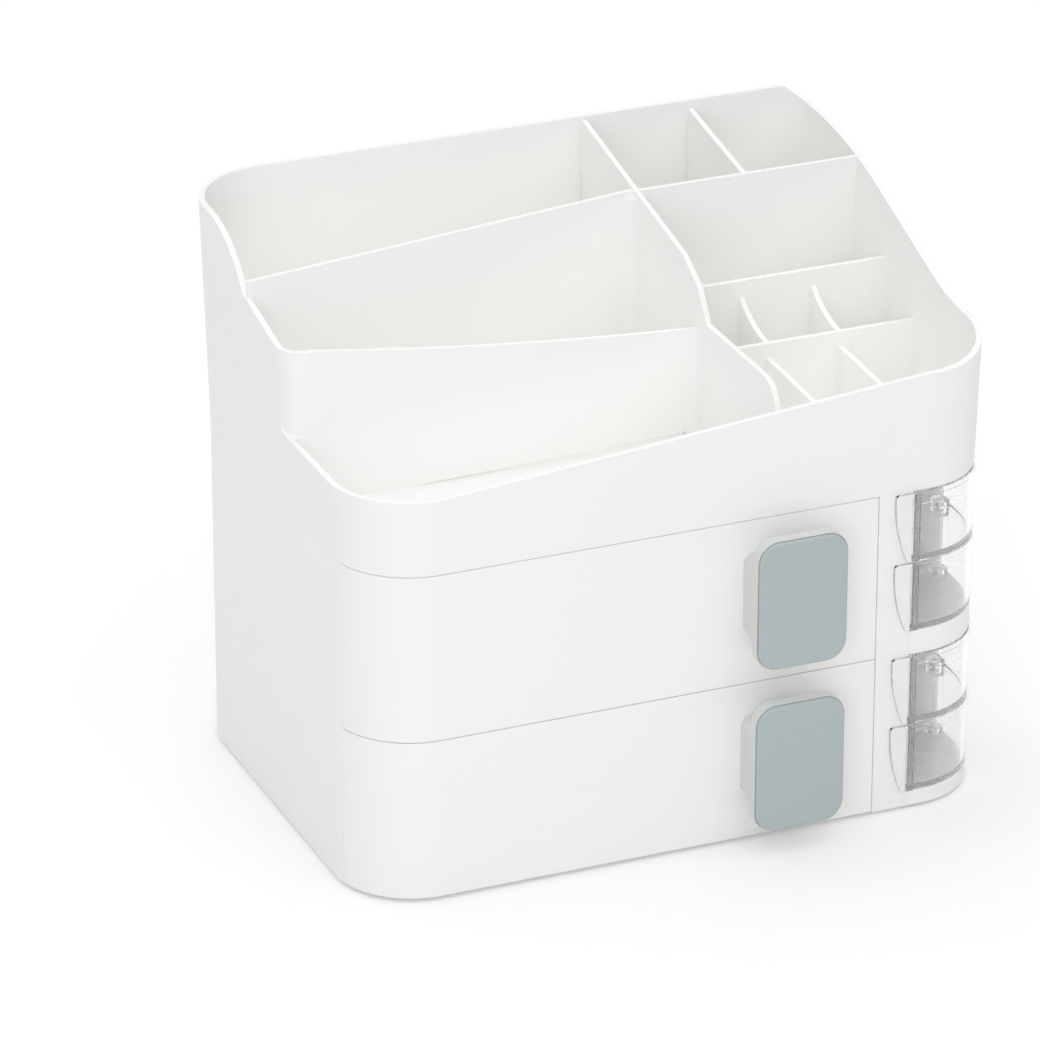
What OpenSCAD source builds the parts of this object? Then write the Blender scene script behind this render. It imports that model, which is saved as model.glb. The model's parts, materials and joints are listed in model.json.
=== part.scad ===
// Desk organizer for make-up: an open compartment module on a cabinet with
// two drawers and four clear bins that swing out of the front right corner.
// Origin: middle of the whole footprint, handles included, on the table.
// X to the right, Y to the back, Z up. Millimetres.

/* [Overall size] */
// width of the cabinet
body_w = 270; // [250:1:300]
// depth of the cabinet
body_d = 192; // [180:1:220]
// height of the back wall above the table
total_h = 236; // [225:1:260]
// height where the open module sits on the cabinet
split_z = 139.5; // [136:0.5:150]
// height of the joint between the two drawer fronts
mid_z = 69; // [67:0.5:75]

/* [Shape] */
// radius of the large upright corners
corner_r = 32; // [24:1:36]
// radius of the back right upright corner
back_r = 7; // [5:1:14]
// outward lean of the module walls in degrees
lean = 1.7; // [0:0.1:3]
// thickness of the cabinet and module walls
wall = 2.4; // [2:0.1:3]
// thickness of the compartment dividers
divider_t = 2.2; // [1.8:0.1:3]
// thickness of the base, shelf and module floors
floor_t = 2.5; // [2.2:0.1:3]

/* [Compartments] */
// middle of the long divider from front to back
spine_x = 38; // [30:1:46]
// first cross wall of the right half, its distance behind the middle
row1_y = 42; // [36:1:48]
// second cross wall of the right half
row2_y = 9.5; // [5:0.5:15]
// third cross wall of the right half
row3_y = -16.5; // [-24:0.5:-10]
// height of the first cross wall
row1_z = 224; // [215:1:228]
// height of the second cross wall
row2_z = 192.5; // [185:0.5:200]
// height of the third cross wall
row3_z = 175.5; // [168:0.5:182]
// left end of the slanting divider of the left half
slant_y = 21.5; // [15:0.5:28]
// straight divider of the left half
front_div_y = -20.5; // [-28:0.5:-14]
// radius where the straight divider turns into the left wall
turn_r = 10; // [6:0.5:14]
// radius in the corners beside the long divider
cell_r = 5; // [3:0.5:7]

/* [Drawers] */
// thickness of a drawer front
front_t = 2.8; // [2.4:0.1:3.2]
// wall thickness of a drawer box
box_t = 1.8; // [1.5:0.1:2.4]
// right end of the drawer fronts
front_x1 = 81.5; // [76:0.5:84]
// travel of a drawer to its stop
drawer_travel = 145; // [100:1:150]

/* [Handles] */
// width of the coloured plate of a handle
plate_w = 37.6; // [30:0.2:44]
// height of the coloured plate of a handle
plate_h = 54; // [46:0.5:56]
// thickness of the coloured plate
plate_t = 2.6; // [2:0.1:3]
// thickness of the pull behind the plate
pull_t = 5.4; // [4:0.2:6]
// distance from the drawer front to the pull
handle_gap = 10; // [8:0.5:12]
// middle of the handles from left to right
handle_x = 42; // [36:0.5:50]
// distance from the upper edge of a drawer front to the plate
handle_drop = 3.7; // [3:0.1:7]

/* [Swing bins] */
// left face of the bins
bin_x0 = 96.5; // [94:0.5:102]
// depth of the bins from the front
bin_d = 47; // [44:0.5:52]
// height of one bin
bin_h = 29.8; // [28:0.1:30]
// wall thickness of a bin
bin_t = 1.8; // [1.5:0.1:2.2]
// radius of the bin corner around its pivot
knuckle_r = 5; // [4.5:0.5:7]
// radius of a pivot peg
peg_r = 1.6; // [1.4:0.1:2]

/* [Fits] */
// gap between parts that move past each other
gap = 0.4; // [0.35:0.05:0.6]
// radial clearance of a turning peg
run_fit = 0.06; // [0.03:0.01:0.1]

/* [Hidden] */
$fn = 96;

white = [0.95, 0.95, 0.94];
grey_blue = [0.68, 0.72, 0.74];
clear = [0.85, 0.90, 0.92, 0.5];
rubber = [0.25, 0.25, 0.26];

x_left = -body_w / 2;
x_right = body_w / 2;
y_front = -body_d / 2;
y_back = body_d / 2;
// radii of the four upright corners: front left, front right, back right, back left
plan_r = [corner_r, corner_r, back_r, corner_r];

// the feet lift the base by this much
foot_lift = 1;
foot_in_x = 55;
foot_in_y = 40;
foot_r = 7;
foot_sink = 1;
foot_play = 0.3;
base_top = foot_lift + floor_t;

// the left cabinet wall ends here and the drawer fronts begin
wrap_short = 6;
joint_y = y_front + corner_r - wrap_short;
stile_x0 = front_x1 + gap;
stile_x1 = bin_x0 - gap;
bay_y1 = y_front + bin_d + gap;
lip_h = 6.6;
lip_top = foot_lift + lip_h;

// stacked heights of the bins
bin_4_z = lip_top + gap;
bin_3_z = bin_4_z + bin_h + gap;
bay_shelf_z0 = bin_3_z + bin_h + gap;
bin_1_z = split_z - gap - bin_h;
bin_2_z = bin_1_z - gap - bin_h;
bay_shelf_z1 = bin_2_z - gap;

// pivot of the bins
pivot_x = x_right - knuckle_r;
pivot_y = y_front + bin_d - knuckle_r;
peg_hole = 2.6;
peg_play = 0.2;
peg_len = 2 * (peg_hole - peg_play) + gap;
boss_r = peg_r + 2.4;

// shelf between the drawers
shelf_z0 = mid_z + gap;
shelf_z1 = shelf_z0 + floor_t;
// tongues of the bin shelf in their slots
tongue_in = 2.5;
tongue_front = 10;
tongue_back = 8;
tongue_left = 8;
tongue_right = 14;
tongue_play = 0.1;

// ledges under the drawer shelf, which begin behind the joint of the drawer front
ledge_w = 3;
ledge_h = 3;
ledge_y0 = joint_y + 8;
// play of pieces that drop into the cabinet
slip = 0.2;
column_y1 = y_back - 5;

// drawer fronts
front_lift = 0.5;
upper_front_z0 = mid_z + gap / 2;
upper_front_z1 = split_z - gap;
lower_front_z0 = foot_lift + front_lift;
lower_front_z1 = mid_z - gap / 2;
// drawer boxes, with room above, beside and behind them; they run into the fronts by the bite
box_room_top = 3.9;
box_room_side = 1.2;
box_room_back = 8;
box_bite = 0.4;
box_floor = 2;
upper_box_z0 = shelf_z1 + gap;
upper_box_z1 = split_z - box_room_top;
lower_box_z0 = base_top + gap;
lower_box_z1 = shelf_z0 - box_room_top;
box_x0 = x_left + wall + box_room_side;
box_x1 = stile_x0 - box_room_side;
box_y0 = y_front + front_t - box_bite;
box_y1 = y_back - box_room_back;
box_left_r = [corner_r - 6, corner_r - 4];
box_r = [box_left_r[0], 2, 4, box_left_r[1]];
box_inner_r = [box_left_r[0] - box_t, 3, 3, box_left_r[1] - box_t];
// stops that hold the drawers in, and the lugs that meet them
stop_w = 12;
stop_h = 3;
stop_t = 3;
stop_lug_h = 2.2;
stop_xs = [-70, 20];
stop_y = box_y1 - box_t - drawer_travel - gap;

// handles: pull, plate in a shallow recess of it, stem and pins
plate_r = 8.5;
plate_sink = 0.9;
plate_play = 0.1;
pull_rim = 0.5;
handle_reach = handle_gap + pull_t + plate_t - plate_sink;
stem_w = plate_w - 1;
stem_h = 34;
stem_r = 4;
pin_r = 2.5;
pin_pitch = 20;
// the pins end this far short of the inside of the drawer
pin_short = 0.6;
upper_handle_z = upper_front_z1 - handle_drop - plate_h / 2;
lower_handle_z = lower_front_z1 - handle_drop - plate_h / 2;

// module
module_floor = split_z + floor_t;
grow = (total_h - split_z) * tan(lean);
// rim under the module that finds its place inside the cabinet walls
lip_drop = 2.8;
lip_t = 1.6;
// slope of the front rim, and its height in the middle
apron_rise = 0.09;
apron_mid_z = split_z + 40.5;
// the low left rim goes on where the front rim ends
left_low_z = apron_mid_z + apron_rise * (x_left + corner_r);
// S curve of the right rim: heights, radii and slope
s_low = split_z + 55;
s_high = total_h - 6.2;
s_low_r = 100;
s_high_r = 210;
s_angle = 19;
// heights of the long divider in front and of the straight divider at its ends
spine_low = split_z + 54;
front_div_left_z = total_h - 30;
front_div_right_z = split_z + 49.5;
// front face of the straight divider
front_div_y0 = front_div_y - divider_t / 2;
// where the slanting divider meets the long divider, and its angle
slant_end_y = row1_y + 1.5;
slant_turn = atan((slant_end_y - slant_y) / (spine_x - x_left));

// the cabinet stands this far behind the origin, because the handles reach out in front
back_shift = round(5 * (handle_reach - grow)) / 10;

module placed() {
    translate([0, back_shift, 0]) children();
}

// what a round corner leaves out of a square one; sx and sy point to the inside
module corner_waste(x, y, sx, sy, r) {
    difference() {
        translate([sx > 0 ? x - 1 : x - r, sy > 0 ? y - 1 : y - r]) square(r + 1);
        translate([x + sx * r, y + sy * r]) circle(r);
    }
}

// two-dimensional outline with a radius at each corner
module plan(x0, x1, y0, y1, r) {
    difference() {
        translate([x0, y0]) square([x1 - x0, y1 - y0]);
        if (r[0] > 0) corner_waste(x0, y0, 1, 1, r[0]);
        if (r[1] > 0) corner_waste(x1, y0, -1, 1, r[1]);
        if (r[2] > 0) corner_waste(x1, y1, -1, -1, r[2]);
        if (r[3] > 0) corner_waste(x0, y1, 1, -1, r[3]);
    }
}

// cabinet outline drawn in by a distance
module body_plan(inset = 0) {
    plan(x_left + inset, x_right - inset, y_front + inset, y_back - inset,
         [for (r = plan_r) r - inset]);
}

// upright slab of an outline
module slab(z0, z1) {
    translate([0, 0, z0]) linear_extrude(z1 - z0) children();
}

module block(x0, x1, y0, y1, z0, z1) {
    translate([x0, y0, z0]) cube([x1 - x0, y1 - y0, z1 - z0]);
}

// extrude a drawing of (y, z) along X, or of (x, z) along Y
module along_x(x0, x1) {
    translate([x0, 0, 0]) rotate([90, 0, 90]) linear_extrude(x1 - x0) children();
}
module along_y(y0, y1) {
    translate([0, y1, 0]) rotate([90, 0, 0]) linear_extrude(y1 - y0) children();
}

// solid with rounded corners whose four sides lean out by g from z0 to z1
module leaning(x0, x1, y0, y1, r, z0, z1, g) {
    difference() {
        intersection() {
            along_y(y0 - abs(g) - 1, y1 + abs(g) + 1)
                polygon([[x0, z0], [x1, z0], [x1 + g, z1], [x0 - g, z1]]);
            along_x(x0 - abs(g) - 1, x1 + abs(g) + 1)
                polygon([[y0, z0], [y1, z0], [y1 + g, z1], [y0 - g, z1]]);
        }
        m = abs(g) + 1;
        block(x0 - m, x0 + r[0], y0 - m, y0 + r[0], z0 - 1, z1 + 1);
        block(x1 - r[1], x1 + m, y0 - m, y0 + r[1], z0 - 1, z1 + 1);
        block(x1 - r[2], x1 + m, y1 - r[2], y1 + m, z0 - 1, z1 + 1);
        block(x0 - m, x0 + r[3], y1 - r[3], y1 + m, z0 - 1, z1 + 1);
    }
    translate([x0 + r[0], y0 + r[0], z0]) cylinder(z1 - z0, r[0], r[0] + g);
    translate([x1 - r[1], y0 + r[1], z0]) cylinder(z1 - z0, r[1], r[1] + g);
    translate([x1 - r[2], y1 - r[2], z0]) cylinder(z1 - z0, r[2], r[2] + g);
    translate([x0 + r[3], y1 - r[3], z0]) cylinder(z1 - z0, r[3], r[3] + g);
}

// circle through two points, on the upper side of the line between them
module hollow(a, b, r) {
    half = norm(b - a) / 2;
    up = [a[1] - b[1], b[0] - a[0]] / (2 * half);
    translate((a + b) / 2 + sqrt(r * r - half * half) * up) circle(r, $fn = 720);
}

// rounding in the corner p of two walls that leave it at the angles a1 and a2;
// its ends run into the walls by the bite
module corner_fill(p, a1, a2, r, bite = 0.03) {
    half = (a2 - a1) / 2;
    mid = [cos((a1 + a2) / 2), sin((a1 + a2) / 2)];
    reach = r / tan(half);
    c = p + mid * (r / sin(half) - bite);
    difference() {
        polygon([p - mid, p + reach * [cos(a1), sin(a1)], c, p + reach * [cos(a2), sin(a2)]]);
        translate(c) circle(r);
    }
}

// module form drawn in by a distance, from z0 to z1
module module_form(inset, z0, z1) {
    g0 = (z0 - split_z) * tan(lean);
    d = inset - g0;
    leaning(x_left + d, x_right - d, y_front + d, y_back - d, [for (r = plan_r) r - d],
            z0, z1, (z1 - z0) * tan(lean));
}

// drawing of (y, z): everything above the rim of the left module wall
module above_left_rim() {
    shoulder_r = 45;
    shoulder_y = y_back - 34;
    shoulder_z = total_h - shoulder_r;
    step_y = shoulder_y - 38.4;
    step_z = total_h - 21.5;
    drop_y = front_div_y0 - 0.5;
    far = 200;
    difference() {
        polygon([[-far, left_low_z], [drop_y, left_low_z], [drop_y, front_div_left_z],
                 [front_div_y0 + turn_r, front_div_left_z], [step_y, step_z], [shoulder_y, total_h],
                 [far, total_h], [far, total_h + 50], [-far, total_h + 50]]);
        intersection() {
            translate([shoulder_y, shoulder_z]) circle(shoulder_r);
            translate([step_y, step_z - 10]) square([60, 60]);
        }
    }
}

// frame that leans out with the left wall: its outer face is x = 0
module beside_left_wall() {
    translate([x_left, 0, split_z]) rotate([0, -lean, 0]) children();
}

// straight divider of the left half, which turns into the left wall
module front_divider() {
    y0 = front_div_y0;
    inner_r = turn_r - wall;
    intersection() {
        beside_left_wall() translate([0, 0, 1]) linear_extrude(total_h - split_z) {
            difference() {
                translate([0, y0]) square([turn_r, divider_t + inner_r]);
                translate([turn_r, y0 + divider_t + inner_r]) circle(inner_r);
            }
            translate([turn_r - 1, y0]) square([body_w / 2 + spine_x, divider_t]);
        }
        block(x_left - 20, spine_x, y0 - 1, y0 + turn_r + divider_t, split_z, total_h);
    }
}

// drawing of (x, z): above the rim of the straight divider, a large arc that falls to the right
module above_front_divider() {
    start = [x_left + turn_r, front_div_left_z];
    end = [spine_x, front_div_right_z];
    polygon([start, end, [spine_x + 1, front_div_right_z], [spine_x + 1, total_h + 5],
             [start[0], total_h + 5]]);
    intersection() {
        hollow(start, end, 1600);
        translate([start[0], end[1] - 10]) square([end[0] - start[0], 50]);
    }
}

// what the turn leaves out of the left wall, down to a sweep into the low rim
module divider_turn_waste() {
    sweep_r = 8;
    end_y = front_div_y0 + turn_r;
    intersection() {
        beside_left_wall() linear_extrude(total_h - split_z)
            corner_waste(0, front_div_y0, 1, 1, turn_r);
        along_x(x_left - 20, x_left + turn_r) {
            translate([front_div_y0 - 2, left_low_z]) square([turn_r + 2 - sweep_r, 100]);
            translate([end_y - sweep_r - 1, left_low_z + sweep_r]) square([sweep_r + 1, 100]);
            translate([end_y - sweep_r, left_low_z + sweep_r]) circle(sweep_r);
        }
    }
}

// drawing of (y, z): everything above the S curve of the right module wall
module above_right_rim() {
    high_y = y_back - 6;
    both_r = s_low_r + s_high_r;
    straight = (s_high - s_low - both_r * (1 - cos(s_angle))) / sin(s_angle);
    low_y = high_y - both_r * sin(s_angle) - straight * cos(s_angle);
    corner_drop = 5.5;
    far = 200;
    difference() {
        polygon([[-far, s_low - corner_drop], [y_front, s_low - corner_drop], [low_y, s_low],
                 [low_y + s_low_r * sin(s_angle), s_low + s_low_r * (1 - cos(s_angle))],
                 [high_y - s_high_r * sin(s_angle), s_high - s_high_r * (1 - cos(s_angle))],
                 [high_y, s_high], [y_back - back_r, s_high], [y_back - back_r, total_h],
                 [far, total_h], [far, total_h + 50], [-far, total_h + 50]]);
        translate([high_y, s_high - s_high_r]) circle(s_high_r, $fn = 360);
    }
    translate([low_y, s_low + s_low_r]) circle(s_low_r);
}

// drawing of (x, z): the back right corner, where the back rim drops to the right rim
module above_back_corner() {
    drop_x0 = x_right - back_r;
    drop_x1 = x_right - wall + grow;
    polygon([[drop_x0, total_h], [drop_x1, s_high], [x_right + 20, s_high],
             [x_right + 20, total_h + 5], [drop_x0, total_h + 5]]);
}

// drawing of (x, z): everything above the rising rim of the front wall
module above_front_rim() {
    a = x_left + corner_r;
    b = x_right - corner_r;
    polygon([[a, apron_mid_z + apron_rise * a], [b, apron_mid_z + apron_rise * b],
             [b, total_h + 50], [a, total_h + 50]]);
}

// drawing of (y, z): the long divider from front to back
module spine_profile() {
    knee_y = -6;
    knee_z = row1_z - 9.5;
    foot_y = front_div_y - 9;
    nose_r = 13;
    front_y = y_front + 1;
    back_y = y_back - 1;
    difference() {
        polygon([[front_y, split_z + 1], [back_y, split_z + 1], [back_y, total_h - 1],
                 [row1_y, row1_z], [knee_y, knee_z], [front_div_y, knee_z - 8], [foot_y, spine_low],
                 [front_y, spine_low]]);
        difference() {
            translate([front_y - 1, spine_low - nose_r]) square([nose_r + 1, nose_r + 1]);
            translate([front_y + nose_r, spine_low - nose_r]) circle(nose_r);
        }
    }
}

// cross wall of the right half
module cross_wall(y, z) {
    block(spine_x, x_right + 5, y - divider_t / 2, y + divider_t / 2, split_z + 1, z);
}

// slanting divider of the left half
module slant_divider() {
    len = (spine_x - x_left) / cos(slant_turn);
    left_z = row1_z - 3.5;
    translate([x_left, slant_y, 0]) rotate([0, 0, slant_turn])
        along_y(-divider_t / 2, divider_t / 2)
            polygon([[-6, split_z + 1], [len, split_z + 1], [len, row1_z], [0, left_z], [-6, left_z]]);
}

// low walls that divide the rows of the right half into columns, with hollow rims
module column_walls() {
    inner = x_right - wall;
    column = (inner - spine_x) / 3;
    top = [row2_y, row2_z - 6];
    middle = [row3_y, row3_z];
    for (i = [1, 2]) {
        x = spine_x + i * column;
        along_x(x - divider_t / 2, x + divider_t / 2)
            difference() {
                polygon([[y_front + 1, split_z + 1], [row2_y, split_z + 1], top, middle,
                         middle - [0, 6], [y_front + 1, row3_z - 9]]);
                hollow(middle, top, 40);
            }
    }
    x = (spine_x + inner) / 2;
    along_x(x - divider_t / 2, x + divider_t / 2)
        polygon([[row1_y, split_z + 1], [y_back - 1, split_z + 1], [y_back - 1, total_h - 3],
                 [row1_y, row1_z]]);
}

// roundings in the corners beside the long divider
module cell_corners() {
    h = divider_t / 2;
    slant_y0 = slant_end_y - h * tan(slant_turn);
    slant_h = h / cos(slant_turn);
    low = 1;
    slab(split_z + low, front_div_right_z - low) {
        corner_fill([spine_x - h, front_div_y - h], 180, 270, cell_r);
        corner_fill([spine_x - h, front_div_y + h], 90, 180, cell_r);
    }
    slab(split_z + low, row1_z - 3 * low) {
        corner_fill([spine_x - h, slant_y0 - slant_h], 180 + slant_turn, 270, cell_r);
        corner_fill([spine_x - h, slant_y0 + slant_h], 90, 180 + slant_turn, cell_r);
        corner_fill([spine_x + h, row1_y - h], 270, 360, cell_r);
        corner_fill([spine_x + h, row1_y + h], 0, 90, cell_r);
    }
    slab(split_z + low, row2_z - low) {
        corner_fill([spine_x + h, row2_y - h], 270, 360, cell_r - 2);
        corner_fill([spine_x + h, row2_y + h], 0, 90, cell_r - 2);
    }
    slab(split_z + low, row3_z - low) {
        corner_fill([spine_x + h, row3_y - h], 270, 360, cell_r - 2);
        corner_fill([spine_x + h, row3_y + h], 0, 90, cell_r - 2);
    }
}

module upper_module() {
    color(white) placed() difference() {
        union() {
            difference() {
                union() {
                    difference() {
                        module_form(0, split_z, total_h);
                        module_form(wall, module_floor, total_h + 1);
                    }
                    front_divider();
                }
                divider_turn_waste();
                along_x(x_left - 20, x_left + corner_r) above_left_rim();
                along_x(x_right - corner_r, x_right + 20) above_right_rim();
                along_y(front_div_y0 - 1, front_div_y0 + divider_t + 1) above_front_divider();
                along_y(y_back - back_r, y_back + 20) above_back_corner();
                along_y(y_front - 20, y_front + corner_r) above_front_rim();
            }
            intersection() {
                module_form(wall / 2, split_z + 1, total_h);
                union() {
                    along_x(spine_x - divider_t / 2, spine_x + divider_t / 2) spine_profile();
                    cross_wall(row1_y, row1_z);
                    cross_wall(row2_y, row2_z);
                    cross_wall(row3_y, row3_z);
                    slant_divider();
                    column_walls();
                    cell_corners();
                }
            }
            // locating rim inside the cabinet walls
            difference() {
                slab(split_z - lip_drop, split_z + 1) body_plan(wall + slip);
                slab(split_z - lip_drop - 1, split_z) body_plan(wall + slip + lip_t);
                block(x_left - 1, x_right + 1, y_front - 1, bay_y1 + wall + 4, 0, split_z);
            }
            // stops for the upper drawer
            for (x = stop_xs)
                block(x - stop_w, x + stop_w, stop_y - stop_t, stop_y, split_z - stop_h, split_z + 1);
            // boss for the top pivot peg
            translate([pivot_x, pivot_y, split_z]) cylinder(peg_hole + 1.5, r = boss_r);
        }
        translate([pivot_x, pivot_y, split_z - 1]) cylinder(peg_hole + 1, r = peg_r);
    }
}

module cabinet_shell() {
    color(white) placed() difference() {
        union() {
            // base, open where the lower drawer front passes
            difference() {
                slab(foot_lift, base_top) body_plan();
                difference() {
                    block(x_left - 1, stile_x0, y_front - 1, joint_y, foot_lift - 1, base_top + 1);
                    slab(foot_lift - 2, base_top + 2) body_plan(front_t + gap);
                }
            }
            // left, back and right walls
            difference() {
                slab(foot_lift, split_z) body_plan();
                slab(foot_lift - 1, split_z + 1) body_plan(wall);
                block(x_left - 1, 0, y_front - 1, joint_y, 0, split_z + 1);
                block(-1, x_right + 1, y_front - 1, bay_y1, 0, split_z + 1);
            }
            // ledge that carries the drawer shelf
            difference() {
                slab(shelf_z0 - ledge_h, shelf_z0) body_plan(wall - 0.5);
                slab(shelf_z0 - ledge_h - 1, shelf_z0 + 1) body_plan(wall + ledge_w);
                block(x_left - 1, x_right + 1, y_front - 1, ledge_y0, 0, split_z);
                block(stile_x0 - ledge_w - gap, x_right + 1, y_front - 1, y_back + 1, 0, split_z);
            }
            // raised floor under the bins
            intersection() {
                slab(foot_lift, lip_top) body_plan();
                block(bin_x0 - gap, x_right + 1, y_front - 1, bay_y1 + wall, 0, lip_top);
            }
        }
        // hollow under the raised floor, with a boss left for the peg
        difference() {
            intersection() {
                slab(foot_lift - 1, lip_top - floor_t) body_plan(wall);
                block(bin_x0 - gap + wall, x_right, y_front, bay_y1, 0, lip_top);
            }
            translate([pivot_x, pivot_y, 0]) cylinder(lip_top, r = boss_r);
        }
        translate([pivot_x, pivot_y, lip_top - peg_hole]) cylinder(peg_hole + 1, r = peg_r);
        foot_places() translate([0, 0, -1]) cylinder(foot_lift + foot_sink + 1, r = foot_r + foot_play);
    }
}

// upright column between the drawers and the bins, with the back wall of the bin bay
module corner_column() {
    z0 = bay_shelf_z0 + tongue_in;
    z1 = bay_shelf_z1 - tongue_in;
    bay_y2 = bay_y1 + wall;
    color(white) placed() difference() {
        union() {
            block(stile_x0, stile_x1, y_front, y_front + wall, base_top, split_z);
            block(stile_x0, stile_x0 + wall, y_front, column_y1, base_top, split_z);
            block(stile_x1 - wall, stile_x1, y_front, bay_y2, base_top, split_z);
            block(stile_x0, x_right - wall - slip, bay_y1, bay_y2, lip_top, split_z);
            block(stile_x0, stile_x1, bay_y1, bay_y2, base_top, lip_top + 1);
            block(stile_x0 - ledge_w, stile_x0 + 1, ledge_y0, column_y1, shelf_z0 - ledge_h, shelf_z0);
        }
        // slots for the tongues of the bin shelf
        block(stile_x1 - wall - 1, stile_x1 + 1, y_front + tongue_front, bay_y1 - tongue_back, z0, z1);
        block(stile_x1 + tongue_left, x_right - tongue_right, bay_y1 - 1, bay_y2 + 1, z0, z1);
    }
}

module mid_shelf() {
    inset = front_t + gap;
    r = corner_r - inset;
    color(white) placed() union() {
        slab(shelf_z0, shelf_z1)
            plan(x_left + inset, stile_x0 - slip, y_front + inset, y_back - wall - slip, [r, 0, 0, r]);
        // stops for the lower drawer
        for (x = stop_xs)
            block(x - stop_w, x + stop_w, stop_y - stop_t, stop_y, shelf_z0 - stop_h, shelf_z0 + 1);
    }
}

// white shelf between the upper and lower bins
module bay_shelf() {
    p = tongue_play;
    z0 = bay_shelf_z0 + tongue_in + p;
    z1 = bay_shelf_z1 - tongue_in - p;
    reach = wall - gap;
    color(white) placed() difference() {
        union() {
            intersection() {
                slab(bay_shelf_z0, bay_shelf_z1) body_plan();
                block(stile_x1, x_right + 1, y_front - 1, bay_y1, 0, split_z);
            }
            block(stile_x1 - reach, stile_x1 + 1,
                  y_front + tongue_front + p, bay_y1 - tongue_back - p, z0, z1);
            block(stile_x1 + tongue_left + p, x_right - tongue_right - p,
                  bay_y1 - 1, bay_y1 + reach, z0, z1);
        }
        translate([pivot_x, pivot_y, bay_shelf_z0 - 1]) cylinder(peg_hole + 1, r = peg_r);
        translate([pivot_x, pivot_y, bay_shelf_z1 - peg_hole]) cylinder(peg_hole + 1, r = peg_r);
    }
}

// places of the two pins of a handle, one above the other
module pin_places() {
    for (z = [-pin_pitch / 2, pin_pitch / 2]) translate([0, z, 0]) children();
}

// drawer with a front that wraps the front left corner
module drawer(front_z0, front_z1, box_z0, box_z1, handle_z) {
    color(white) placed() difference() {
        union() {
            difference() {
                slab(front_z0, front_z1) body_plan();
                slab(front_z0 - 1, front_z1 + 1) body_plan(front_t);
                block(x_left - 1, x_right + 1, joint_y - gap, y_back + 1, 0, total_h);
                block(front_x1, x_right + 1, y_front - 1, y_back + 1, 0, total_h);
            }
            slab(box_z0, box_z1)
                plan(box_x0, box_x1, box_y0, box_y1, box_r);
            // lugs that meet the stops
            for (x = stop_xs)
                block(x - stop_w, x + stop_w, box_y1 - box_t, box_y1, box_z1 - 1, box_z1 + stop_lug_h);
        }
        slab(box_z0 + box_floor, box_z1 + 1)
            plan(box_x0 + box_t, box_x1 - box_t, box_y0 + box_t, box_y1 - box_t, box_inner_r);
        on_front(handle_z) pin_places() translate([0, 0, -front_t - box_t - 1])
            cylinder(front_t + box_t + 2, r = pin_r);
    }
}
module drawer_upper() {
    drawer(upper_front_z0, upper_front_z1, upper_box_z0, upper_box_z1, upper_handle_z);
}
module drawer_lower() {
    drawer(lower_front_z0, lower_front_z1, lower_box_z0, lower_box_z1, lower_handle_z);
}

// frame on the drawer front at a height: x to the right, y up, z out of the front
module on_front(z) {
    translate([handle_x, y_front, z]) rotate([90, 0, 0]) children();
}

// outline of a handle plate, drawn out by a distance
module plate_plan(out) {
    w = plate_w / 2 + out;
    h = plate_h / 2 + out;
    r = plate_r + out;
    plan(-w, w, -h, h, [r, r, r, r]);
}

// white pull on a stem, with two pins that press into the drawer front
module handle(z) {
    bevel = 0.8;
    w = plate_w / 2 + pull_rim;
    h = plate_h / 2 + pull_rim;
    r = plate_r + pull_rim;
    back_w = w - bevel;
    back_h = h - bevel;
    back_r4 = [for (i = [0 : 3]) r - bevel];
    pin = front_t + box_t - pin_short;
    color(white) placed() on_front(z) difference() {
        union() {
            translate([0, 0, handle_gap])
                leaning(-back_w, back_w, -back_h, back_h, back_r4, 0, bevel, bevel);
            translate([0, 0, handle_gap + bevel]) linear_extrude(pull_t - bevel) plate_plan(pull_rim);
            linear_extrude(handle_gap + 1)
                plan(-stem_w / 2, stem_w / 2, -stem_h / 2, stem_h / 2, [for (i = [0 : 3]) stem_r]);
            pin_places() translate([0, 0, -pin]) cylinder(pin + 1, r = pin_r);
        }
        translate([0, 0, handle_gap + pull_t - plate_sink])
            linear_extrude(plate_sink + 1) plate_plan(plate_play);
    }
}
module handle_upper() { handle(upper_handle_z); }
module handle_lower() { handle(lower_handle_z); }

// coloured plate in the face of a handle, with a bevelled front edge
module plate(z) {
    bevel = 0.7;
    w = plate_w / 2;
    h = plate_h / 2;
    r4 = [for (i = [0 : 3]) plate_r];
    color(grey_blue) placed() on_front(z) translate([0, 0, handle_gap + pull_t - plate_sink]) union() {
        linear_extrude(plate_t - bevel) plate_plan(0);
        leaning(-w, w, -h, h, r4, plate_t - bevel, plate_t, -bevel);
    }
}
module plate_upper() { plate(upper_handle_z); }
module plate_lower() { plate(lower_handle_z); }

// plan of a bin drawn in by a distance; the back left corner turns clear of the column
module bin_plan(inset) {
    sweep_r = pivot_x - stile_x1 - gap - 0.2;
    difference() {
        plan(bin_x0 + inset, x_right - inset, y_front + inset, y_front + bin_d - inset,
             [1, corner_r - inset, knuckle_r - inset, 1]);
        difference() {
            translate([bin_x0 - 5, pivot_y]) square([pivot_x - bin_x0 + 5, knuckle_r + 5]);
            translate([pivot_x, pivot_y]) circle(sweep_r - inset);
        }
    }
}

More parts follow.
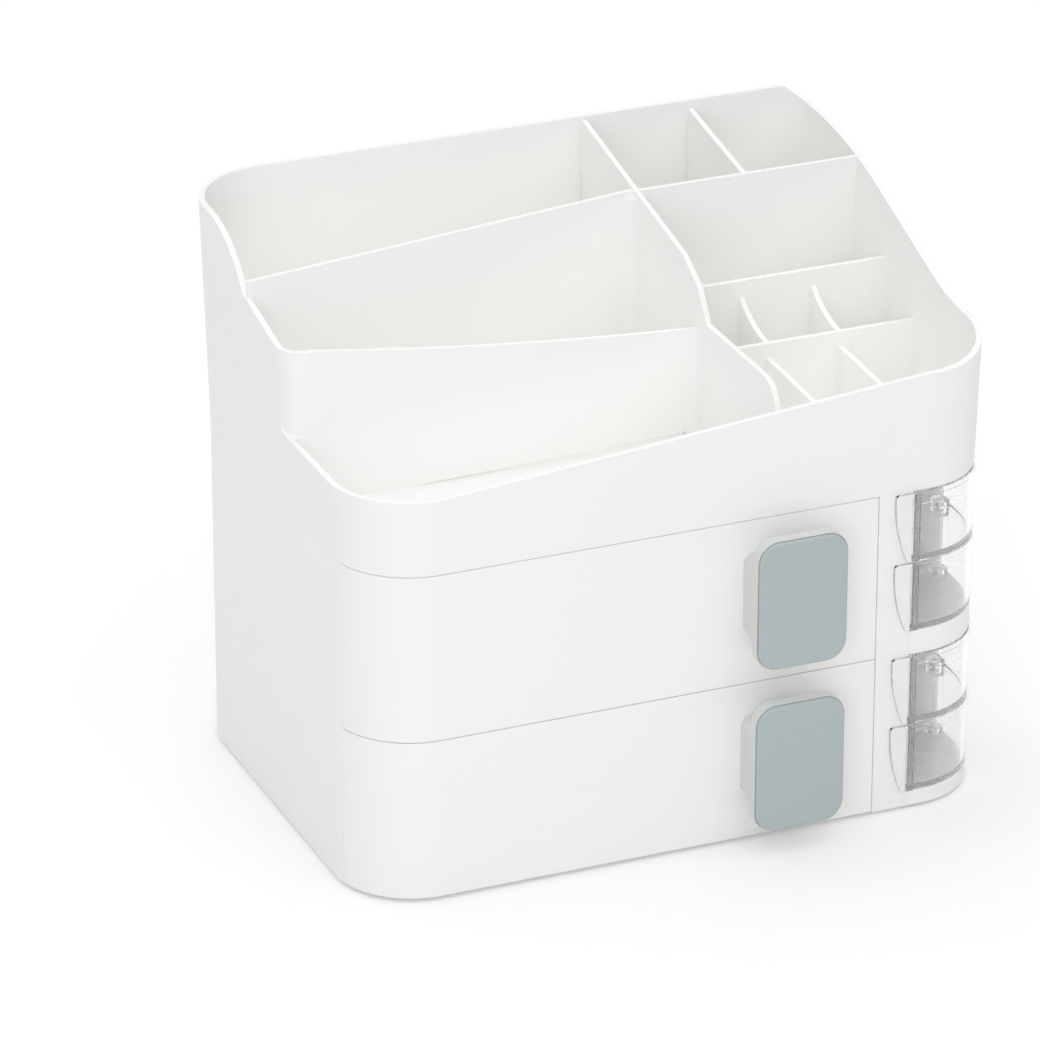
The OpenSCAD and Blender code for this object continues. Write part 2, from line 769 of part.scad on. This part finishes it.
// clear bin with rim bead, pull wing, pivot ear and pivot boss
module bin(z) {
    rim_h = 2.2;
    rim_out = 0.7;
    wing_t = 1.6;
    wing_w = 8.2;
    overlap = 2.4;
    ear_h = peg_hole + 1;
    ear_r = knuckle_r - 1;
    bead_end = knuckle_r + 2;
    color(clear) placed() translate([0, 0, z]) difference() {
        union() {
            difference() {
                linear_extrude(bin_h) bin_plan(0);
                translate([0, 0, bin_t]) linear_extrude(bin_h) bin_plan(bin_t);
            }
            // rim bead on the outer curve, short of the stretch that swings past the bay wall
            translate([0, 0, bin_h - rim_h]) linear_extrude(rim_h) difference() {
                intersection() {
                    plan(bin_x0, x_right + rim_out, y_front - rim_out, y_front + bin_d,
                         [0.5, corner_r + rim_out, knuckle_r, 1]);
                    translate([bin_x0, y_front - 5]) square([60, pivot_y - bead_end - y_front + 5]);
                }
                bin_plan(0.5);
            }
            // pull wing in front of the column
            along_y(y_front - gap - wing_t, y_front - gap) wing(wing_w, overlap, bin_h);
            block(bin_x0, bin_x0 + overlap, y_front - gap - wing_t, y_front + 0.5, 0.5, bin_h);
            // ear and boss for the pegs
            translate([pivot_x, pivot_y, bin_h - ear_h]) cylinder(ear_h, r = ear_r);
            translate([pivot_x, pivot_y, 0]) cylinder(ear_h, r = ear_r);
        }
        translate([pivot_x, pivot_y, -1]) cylinder(peg_hole + 1, r = peg_r + run_fit);
        translate([pivot_x, pivot_y, bin_h - peg_hole]) cylinder(peg_hole + 1, r = peg_r + run_fit);
    }
}

// drawing of (x, z): wing that narrows downward along a curved free edge
module wing(w, overlap, h) {
    edge_r = 62;
    tip_r = 1.5;
    low_z = 0.5;
    x0 = bin_x0 - w;
    difference() {
        intersection() {
            translate([x0, low_z]) square([w + overlap, h - low_z]);
            translate([x0 + edge_r, h - 4]) circle(edge_r, $fn = 360);
        }
        difference() {
            translate([x0 - 1, h - tip_r]) square([tip_r + 1, tip_r + 1]);
            translate([x0 + tip_r, h - tip_r]) circle(tip_r);
        }
    }
}
module bin_1() { bin(bin_1_z); }
module bin_2() { bin(bin_2_z); }
module bin_3() { bin(bin_3_z); }
module bin_4() { bin(bin_4_z); }

// peg across the joint that starts at height z
module peg(z) {
    color(white) placed() translate([pivot_x, pivot_y, z - peg_hole + peg_play])
        cylinder(peg_len, r = peg_r);
}
module pivot_pegs() {
    peg(lip_top);
    peg(bin_3_z + bin_h);
    peg(bay_shelf_z1);
    peg(bin_1_z + bin_h);
}
module peg_upper() { peg(bin_2_z + bin_h); }
module peg_lower() { peg(bin_4_z + bin_h); }

module foot_places() {
    dx = body_w / 2 - foot_in_x;
    dy = body_d / 2 - foot_in_y;
    for (x = [-dx, dx], y = [-dy, dy]) translate([x, y, 0]) children();
}
module feet() {
    color(rubber) placed() foot_places() cylinder(foot_lift + foot_sink, r = foot_r);
}

cabinet_shell();
corner_column();
mid_shelf();
bay_shelf();
upper_module();
drawer_upper();
drawer_lower();
handle_upper();
handle_lower();
plate_upper();
plate_lower();
bin_1();
bin_2();
bin_3();
bin_4();
pivot_pegs();
peg_upper();
peg_lower();
feet();
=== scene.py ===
import json
import math

import bpy
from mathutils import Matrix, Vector

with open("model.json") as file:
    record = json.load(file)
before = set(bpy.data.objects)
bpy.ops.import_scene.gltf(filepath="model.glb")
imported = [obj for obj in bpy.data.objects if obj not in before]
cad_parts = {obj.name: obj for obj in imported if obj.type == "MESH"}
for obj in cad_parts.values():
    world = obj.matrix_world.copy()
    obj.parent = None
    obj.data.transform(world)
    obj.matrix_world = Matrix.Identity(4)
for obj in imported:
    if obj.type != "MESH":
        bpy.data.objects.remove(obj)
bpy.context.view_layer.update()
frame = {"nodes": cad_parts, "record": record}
nodes = frame["nodes"]
scene = bpy.context.scene

MM = 0.001
# the cabinet stands this far behind the origin, because the pulls reach out in front
BACK_SHIFT = 7.1 * MM

# each surface drifts between two colours
WHITE = ((0.955, 0.957, 0.946), (0.966, 0.966, 0.958))
# the pulls behind the grey plates are painted a little greyer than the cabinet: painted shade for the
# shadow behind the plates
PULL_PAINTED_SHADE = ((0.68, 0.70, 0.685), (0.70, 0.72, 0.705))
GREY_BLUE = ((0.430, 0.488, 0.500), (0.470, 0.526, 0.536))
CLEAR = ((0.993, 0.996, 0.996), (0.999, 1.0, 1.0))
DARK_GREY = ((0.05, 0.05, 0.052), (0.075, 0.075, 0.078))

# most of a noise lies in this range
NOISE_RANGE = (0.3, 0.7)
OFF_ON = (0.0, 1.0)

# what a clear wall still holds back of shadow rays and of rays from one matt surface to another
CLEAR_SHADOW = 0.06
CLEAR_DIFFUSE = 0.3

# rounding of the moulded edges, by material slot
EDGE_WIDTH = {
    "white_plastic": 0.35 * MM,
    "grey_plastic": 0.3 * MM,
    "clear_plastic": 0.3 * MM,
    "rubber": 0.3 * MM,
}
EDGE_SEGMENTS = 2
EDGE_ANGLE = math.radians(35)
FLAT_ANGLE = math.radians(0.6)
WELD_DISTANCE = 0.005 * MM

FLOOR_SIZE = 12.0
FLOOR_DROP = 0.2 * MM
FLOOR_GREY = (0.84, 0.84, 0.84, 1.0)
FLOOR_ROUGHNESS = 0.9
FLOOR_GLOW = 0.17

# sky strength by the upward part of the direction, and its share by the sideways part
SKY_UP = (0.2, 0.7)
SKY_STRENGTH = (0.44, 1.28)
SKY_ASIDE = (0.45, 1.0)
SKY_SHARE = (1.0, 0.35)

KEY_SIZE = 0.8
KEY_POWER = 5.0
KEY_PLACE = Vector((-1.0, -1.55, 0.6))
KEY_TARGET = Vector((0, 0, 0.1))

YAW = math.radians(22.75)
PITCH = math.radians(24.75)
DISTANCE = 2.589
FOCAL_PX = 6500
FRAME_PX = 1040
SENSOR_MM = 36.0
CLIP_END = 100.0
AIM = Vector((-30.1 * MM, BACK_SHIFT, 108.7 * MM))


class Nodes:
    """A small helper around one node tree."""

    def __init__(self, tree):
        self.tree = tree

    def add(self, kind, **values):
        node = self.tree.nodes.new(kind)
        for key, value in values.items():
            setattr(node, key, value)
        return node

    def link(self, source, socket):
        self.tree.links.new(source, socket)

    def math(self, operation, *sources):
        node = self.add("ShaderNodeMath", operation=operation)
        for source, socket in zip(sources, node.inputs):
            self.link(source, socket)
        return node.outputs["Value"]

    def remap(self, source, from_range, to_range):
        node = self.add("ShaderNodeMapRange")
        node.inputs["From Min"].default_value = from_range[0]
        node.inputs["From Max"].default_value = from_range[1]
        node.inputs["To Min"].default_value = to_range[0]
        node.inputs["To Max"].default_value = to_range[1]
        self.link(source, node.inputs["Value"])
        return node.outputs["Result"]


class Shader(Nodes):
    """A material, with steps that feed its main shader."""

    def __init__(self, name):
        self.material = bpy.data.materials.new(name)
        self.material.use_nodes = True
        super().__init__(self.material.node_tree)
        self.bsdf = self.tree.nodes["Principled BSDF"]

    def set(self, **values):
        """Set sockets of the main shader; an underscore stands for a space."""
        for key, value in values.items():
            self.bsdf.inputs[key.replace("_", " ")].default_value = value

    def feed(self, source, name):
        self.link(source, self.bsdf.inputs[name])

    def noise(self, scale, detail):
        """Noise in the object's own frame; scale is in waves per metre."""
        node = self.add("ShaderNodeTexNoise")
        node.inputs["Scale"].default_value = scale
        node.inputs["Detail"].default_value = detail
        place = self.add("ShaderNodeTexCoord")
        self.link(place.outputs["Object"], node.inputs["Vector"])
        return node.outputs["Fac"]

    def colour(self, colours, scale, detail):
        node = self.add("ShaderNodeMix", data_type="RGBA")
        node.inputs["A"].default_value = (*colours[0], 1.0)
        node.inputs["B"].default_value = (*colours[1], 1.0)
        self.link(self.noise(scale, detail), node.inputs["Factor"])
        self.feed(node.outputs["Result"], "Base Color")

    def roughness(self, to_range, scale, detail):
        self.feed(self.remap(self.noise(scale, detail), NOISE_RANGE, to_range), "Roughness")

    def grain(self, strength, distance, scale, detail):
        node = self.add("ShaderNodeBump")
        node.inputs["Strength"].default_value = strength
        node.inputs["Distance"].default_value = distance
        self.link(self.noise(scale, detail), node.inputs["Height"])
        self.feed(node.outputs["Normal"], "Normal")


def white_plastic(name, colours):
    s = Shader(name)
    s.colour(colours, scale=9.0, detail=3.0)
    s.roughness((0.34, 0.46), scale=55.0, detail=4.0)
    s.grain(strength=0.05, distance=0.2 * MM, scale=900.0, detail=2.0)
    s.set(IOR=1.46)
    return s.material


def grey_plastic():
    s = Shader("grey_plastic")
    s.colour(GREY_BLUE, scale=14.0, detail=3.0)
    s.roughness((0.42, 0.55), scale=260.0, detail=4.0)
    s.grain(strength=0.12, distance=0.15 * MM, scale=2600.0, detail=2.0)
    s.set(IOR=1.5)
    return s.material


def clear_plastic():
    s = Shader("clear_plastic")
    s.colour(CLEAR, scale=20.0, detail=2.0)
    s.roughness((0.0, 0.03), scale=120.0, detail=3.0)
    s.set(IOR=1.45, Transmission_Weight=1.0)
    # light falls through the clear walls onto what is behind them
    path = s.add("ShaderNodeLightPath").outputs
    shadow = s.remap(path["Is Shadow Ray"], OFF_ON, (1.0, CLEAR_SHADOW))
    diffuse = s.remap(path["Is Diffuse Ray"], OFF_ON, (1.0, CLEAR_DIFFUSE))
    s.feed(s.math("MINIMUM", shadow, diffuse), "Alpha")
    return s.material


def rubber():
    s = Shader("rubber")
    s.colour(DARK_GREY, scale=300.0, detail=4.0)
    s.roughness((0.6, 0.8), scale=500.0, detail=3.0)
    s.grain(strength=0.3, distance=0.2 * MM, scale=1800.0, detail=2.0)
    return s.material


def floor_material():
    """A pale floor that adds a little light of its own where it is seen, so that it shows white."""
    s = Shader("floor")
    s.set(Base_Color=FLOOR_GREY, Roughness=FLOOR_ROUGHNESS)
    # 1 for camera, mirror and see-through rays, 0 for rays that light other surfaces
    path = s.add("ShaderNodeLightPath").outputs
    mirrored = s.math("MAXIMUM", path["Is Camera Ray"], path["Is Glossy Ray"])
    seen = s.math("MAXIMUM", mirrored, path["Is Transmission Ray"])
    glow = s.add("ShaderNodeEmission")
    s.link(s.remap(seen, OFF_ON, (0.0, FLOOR_GLOW)), glow.inputs["Strength"])
    both = s.add("ShaderNodeAddShader")
    s.link(s.bsdf.outputs["BSDF"], both.inputs[0])
    s.link(glow.outputs["Emission"], both.inputs[1])
    s.link(both.outputs["Shader"], s.tree.nodes["Material Output"].inputs["Surface"])
    return s.material


def smooth_group():
    """Geometry nodes that weld a carried-over mesh and shade it smooth, without its stored normals."""
    tree = bpy.data.node_groups.new("smooth_weld", "GeometryNodeTree")
    for way in ("INPUT", "OUTPUT"):
        tree.interface.new_socket("Geometry", in_out=way, socket_type="NodeSocketGeometry")
    last = tree.nodes.new("NodeGroupInput").outputs["Geometry"]
    for kind, inputs in (
        ("GeometryNodeRemoveAttribute", {"Name": "custom_normal"}),
        ("GeometryNodeRemoveAttribute", {"Name": "sharp_edge"}),
        ("GeometryNodeMergeByDistance", {"Distance": WELD_DISTANCE}),
        ("GeometryNodeSetShadeSmooth", {}),
    ):
        node = tree.nodes.new(kind)
        for key, value in inputs.items():
            node.inputs[key].default_value = value
        tree.links.new(last, node.inputs["Geometry"])
        last = node.outputs["Geometry"]
    tree.links.new(last, tree.nodes.new("NodeGroupOutput").inputs["Geometry"])
    return tree


def soften(obj, width, group):
    """Round the moulded edges of a carried-over solid by a small width."""
    weld = obj.modifiers.new("weld", "NODES")
    weld.node_group = group
    flat = obj.modifiers.new("flat", "DECIMATE")
    flat.decimate_type = "DISSOLVE"
    flat.angle_limit = FLAT_ANGLE
    bevel = obj.modifiers.new("edge", "BEVEL")
    bevel.width = width
    bevel.segments = EDGE_SEGMENTS
    bevel.limit_method = "ANGLE"
    bevel.angle_limit = EDGE_ANGLE
    bevel.use_clamp_overlap = True
    normals = obj.modifiers.new("normals", "WEIGHTED_NORMAL")
    normals.mode = "FACE_AREA"


def dress():
    """Give every carried-over solid its material and its rounded edges."""
    by_slot = {
        "white_plastic": white_plastic("white_plastic", WHITE),
        "grey_plastic": grey_plastic(),
        "clear_plastic": clear_plastic(),
        "rubber": rubber(),
    }
    # the pulls get a greyer copy of the white plastic, painted shade for the shade behind the grey
    # plates
    pull = white_plastic("pull_painted_shade", PULL_PAINTED_SHADE)
    by_node = {"handle_upper": pull, "handle_lower": pull}
    group = smooth_group()
    slot_of = {p["node"]: p["material_slot"] for p in frame["record"]["subparts"]}
    for name, obj in nodes.items():
        slot = slot_of[name]
        obj.data.materials.clear()
        obj.data.materials.append(by_node.get(name, by_slot[slot]))
        soften(obj, EDGE_WIDTH[slot], group)


def add_object(name, data, location):
    obj = bpy.data.objects.new(name, data)
    scene.collection.objects.link(obj)
    obj.location = location
    return obj


def add_floor():
    mesh = bpy.data.meshes.new("floor")
    h = FLOOR_SIZE / 2
    mesh.from_pydata([(-h, -h, 0), (h, -h, 0), (h, h, 0), (-h, h, 0)], [], [(0, 1, 2, 3)])
    mesh.materials.append(floor_material())
    return add_object("floor", mesh, (0, 0, -FLOOR_DROP))


def add_sky():
    """A soft box overhead: the sky is brighter at the top than in front, and dimmest at both sides."""
    world = bpy.data.worlds.new("studio")
    world.use_nodes = True
    scene.world = world
    n = Nodes(world.node_tree)
    sky = n.tree.nodes["Background"]
    sky.inputs["Color"].default_value = (1.0, 1.0, 1.0, 1.0)
    direction = n.add("ShaderNodeSeparateXYZ")
    n.link(n.add("ShaderNodeTexCoord").outputs["Generated"], direction.inputs["Vector"])
    rise = n.remap(direction.outputs["Z"], SKY_UP, SKY_STRENGTH)
    share = n.remap(n.math("ABSOLUTE", direction.outputs["X"]), SKY_ASIDE, SKY_SHARE)
    n.link(n.math("MULTIPLY", rise, share), sky.inputs["Strength"])


def add_key():
    """A low lamp from the front left, for the front and its round corner."""
    data = bpy.data.lights.new("key", "AREA")
    data.shape = "SQUARE"
    data.size = KEY_SIZE
    data.energy = KEY_POWER
    obj = add_object("key", data, KEY_PLACE)
    obj.rotation_euler = (KEY_TARGET - KEY_PLACE).to_track_quat("-Z", "Y").to_euler()


def add_camera():
    level = math.cos(PITCH)
    forward = Vector((math.sin(YAW) * level, math.cos(YAW) * level, -math.sin(PITCH)))
    data = bpy.data.cameras.new("camera")
    data.sensor_width = SENSOR_MM
    data.lens = FOCAL_PX * SENSOR_MM / FRAME_PX
    data.clip_end = CLIP_END
    camera = add_object("camera", data, AIM - forward * DISTANCE)
    camera.rotation_euler = forward.to_track_quat("-Z", "Y").to_euler()
    scene.camera = camera


dress()
floor = add_floor()
add_sky()
add_key()
add_camera()

# bounces enough for light to reach the bottom of white cells and to pass the clear bins
scene.cycles.max_bounces = 64
scene.cycles.diffuse_bounces = 14
scene.cycles.glossy_bounces = 32
scene.cycles.transmission_bounces = 48
scene.cycles.transparent_max_bounces = 32
scene.view_settings.view_transform = "Standard"
